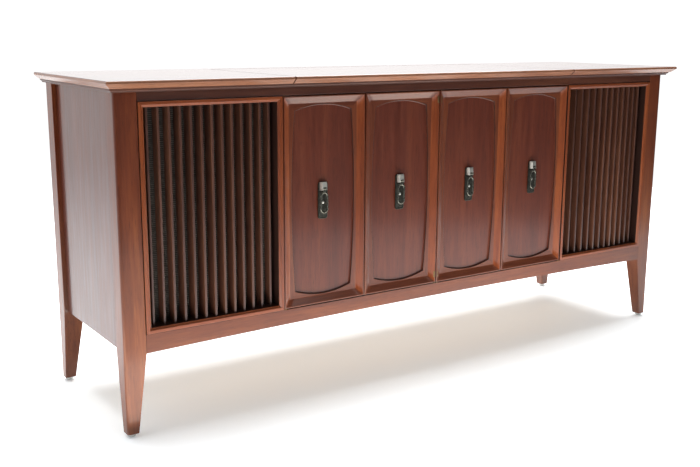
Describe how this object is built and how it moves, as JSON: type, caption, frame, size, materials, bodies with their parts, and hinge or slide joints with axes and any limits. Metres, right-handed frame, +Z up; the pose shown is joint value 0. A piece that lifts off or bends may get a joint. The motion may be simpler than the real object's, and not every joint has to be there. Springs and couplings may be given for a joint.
{
  "type": "radio phonograph console",
  "caption": "Long low stereo console on tapered legs, with a lift lid over a record changer and tuner, panelled doors over record storage, and finned speaker grilles at the ends.",
  "frame": {"origin": "on the floor, under the middle of the top slab", "axes": "+X to the right as seen from the front, +Y to the back, +Z up; the doors face -Y"},
  "size_m": [1.73, 0.474, 0.762],
  "materials": {
    "walnut": "gloss lacquer over red-brown walnut",
    "core_board": "sawn, unfinished",
    "hardboard": "smooth pressed board",
    "black_board": "matt black stain",
    "nickel_steel": "nickel plated",
    "hinge_brass": "satin",
    "antique_pewter": "antiqued, rubbed bright on the high spots",
    "driver_steel": "zinc plated and grey painted sheet",
    "changer_enamel": "cream hammer enamel",
    "platter_metal": "spun, satin",
    "panel_metal": "brushed, champagne anodised",
    "ivory_plastic": "moulded, gloss",
    "knob_plastic": "dark brown with a spun metal cap",
    "pointer_plastic": "moulded, matt",
    "black_rubber": "matt"
  },
  "bodies": {
    "cabinet": {"post_front_left": "walnut", "post_front_right": "walnut", "post_rear_left": "walnut", "post_rear_right": "walnut", "side_panel_left": "walnut", "side_panel_right": "walnut", "front_top_rail": "walnut", "front_bottom_rail": "walnut", "well_front_board": "walnut", "top_left": "walnut", "top_right": "walnut", "top_rear_strip": "walnut", "top_moulding": "walnut", "grille_frame_left": "walnut", "grille_frame_right": "walnut", "grille_fins_left": "walnut", "grille_fins_right": "walnut", "rear_rails": "core_board", "bottom_board": "core_board", "partitions": "core_board", "deck_board": "core_board", "record_compartments": "hardboard", "back_panel": "hardboard", "speaker_baffles": "black_board", "foot_glides": "nickel_steel", "spindle": "nickel_steel", "lid_hinge_fixed_leaf": "hinge_brass", "door_pivot_pins": "hinge_brass", "speaker_drivers": "driver_steel", "motor": "driver_steel", "amplifier": "driver_steel", "tuner_chassis": "driver_steel", "changer_plate": "changer_enamel", "tuner_panel": "panel_metal", "mains_bush": "black_rubber"},
    "lid": {"lid": "walnut", "lid_hinge_moving_leaf": "hinge_brass"},
    "platter": {"platter": "platter_metal"},
    "idler": {"idler_wheel": "black_rubber"},
    "pulley": {"motor_pulley": "hinge_brass"},
    "record_arm": {"record_arm": "nickel_steel"},
    "arm_turret": {"tonearm_turret": "nickel_steel"},
    "arm_tube": {"tonearm": "ivory_plastic"},
    "changer_knob": {"changer_knob": "ivory_plastic"},
    "dial_pointer": {"dial_pointer": "pointer_plastic"},
    "tuning_knob": {"tuning_knob": "knob_plastic"},
    "volume_knob": {"volume_knob": "knob_plastic"},
    "selector_knob": {"selector_knob": "knob_plastic"},
    "door_1": {"door_1": "walnut", "pull_plate_1": "antique_pewter"},
    "pull_1": {"pull_drop_1": "antique_pewter"},
    "door_2": {"door_2": "walnut", "pull_plate_2": "antique_pewter"},
    "pull_2": {"pull_drop_2": "antique_pewter"},
    "door_3": {"door_3": "walnut", "pull_plate_3": "antique_pewter"},
    "pull_3": {"pull_drop_3": "antique_pewter"},
    "door_4": {"door_4": "walnut", "pull_plate_4": "antique_pewter"},
    "pull_4": {"pull_drop_4": "antique_pewter"}
  },
  "joints": [
    {"name": "lid_hinge", "type": "hinge", "parent": "cabinet", "child": "lid", "pos_m": [0, 0.185, 0.7588], "axis": [-1, 0, 0], "range_deg": [0, 78]},
    {"name": "door_1_hinge", "type": "hinge", "parent": "cabinet", "child": "door_1", "pos_m": [-0.44575, -0.2015, 0.472], "axis": [0, 0, -1], "range_deg": [0, 100]},
    {"name": "pull_1_swing", "type": "hinge", "parent": "door_1", "child": "pull_1", "pos_m": [-0.3375, -0.199, 0.5], "axis": [-1, 0, 0], "range_deg": [0, 42]},
    {"name": "door_2_hinge", "type": "hinge", "parent": "cabinet", "child": "door_2", "pos_m": [-0.00425, -0.2015, 0.472], "axis": [0, 0, 1], "range_deg": [0, 70]},
    {"name": "pull_2_swing", "type": "hinge", "parent": "door_2", "child": "pull_2", "pos_m": [-0.1125, -0.199, 0.5], "axis": [-1, 0, 0], "range_deg": [0, 42]},
    {"name": "door_3_hinge", "type": "hinge", "parent": "cabinet", "child": "door_3", "pos_m": [0.00425, -0.2015, 0.472], "axis": [0, 0, -1], "range_deg": [0, 70]},
    {"name": "pull_3_swing", "type": "hinge", "parent": "door_3", "child": "pull_3", "pos_m": [0.1125, -0.199, 0.5], "axis": [-1, 0, 0], "range_deg": [0, 42]},
    {"name": "door_4_hinge", "type": "hinge", "parent": "cabinet", "child": "door_4", "pos_m": [0.44575, -0.2015, 0.472], "axis": [0, 0, 1], "range_deg": [0, 100]},
    {"name": "pull_4_swing", "type": "hinge", "parent": "door_4", "child": "pull_4", "pos_m": [0.3375, -0.199, 0.5], "axis": [-1, 0, 0], "range_deg": [0, 42]},
    {"name": "platter_spin", "type": "hinge", "parent": "cabinet", "child": "platter", "pos_m": [-0.255, 0.02, 0.65], "axis": [0, 0, -1], "continuous": true},
    {"name": "idler_spin", "type": "hinge", "parent": "cabinet", "child": "idler", "pos_m": [-0.33186, 0.09686, 0.648], "axis": [0, 0, -1], "continuous": true},
    {"name": "pulley_spin", "type": "hinge", "parent": "cabinet", "child": "pulley", "pos_m": [-0.31468, 0.07968, 0.64], "axis": [0, 0, -1], "continuous": true},
    {"name": "record_arm_swing", "type": "hinge", "parent": "cabinet", "child": "record_arm", "pos_m": [-0.16, 0.165, 0.7], "axis": [0, 0, -1], "range_deg": [0, 60]},
    {"name": "tonearm_swing", "type": "hinge", "parent": "cabinet", "child": "arm_turret", "pos_m": [-0.105, 0.125, 0.66], "axis": [0, 0, -1], "range_deg": [0, 38]},
    {"name": "tonearm_lift", "type": "hinge", "parent": "arm_turret", "child": "arm_tube", "pos_m": [-0.105, 0.125, 0.688], "axis": [-1, 0, 0], "range_deg": [0, 12]},
    {"name": "changer_knob_turn", "type": "hinge", "parent": "cabinet", "child": "changer_knob", "pos_m": [-0.095, -0.118, 0.648], "axis": [0, 0, -1], "range_deg": [0, 120]},
    {"name": "tuning_turn", "type": "hinge", "parent": "cabinet", "child": "tuning_knob", "pos_m": [0.33, -0.062, 0.645], "axis": [0, 0, -1], "range_deg": [-900, 900]},
    {"name": "pointer_slide", "type": "slide", "parent": "cabinet", "child": "dial_pointer", "axis": [1, 0, 0], "range_m": [-0.13, 0.13]},
    {"name": "volume_turn", "type": "hinge", "parent": "cabinet", "child": "volume_knob", "pos_m": [0.105, -0.062, 0.645], "axis": [0, 0, -1], "range_deg": [0, 290]},
    {"name": "selector_turn", "type": "hinge", "parent": "cabinet", "child": "selector_knob", "pos_m": [0.225, -0.062, 0.645], "axis": [0, 0, -1], "range_deg": [0, 150]}
  ],
  "couplings": [
    {"joint": "idler_spin", "follows": "platter_spin", "ratio": 6.45},
    {"joint": "pulley_spin", "follows": "platter_spin", "ratio": -32.25},
    {"joint": "pointer_slide", "follows": "tuning_turn", "m_per_rad": 0.0082761}
  ]
}
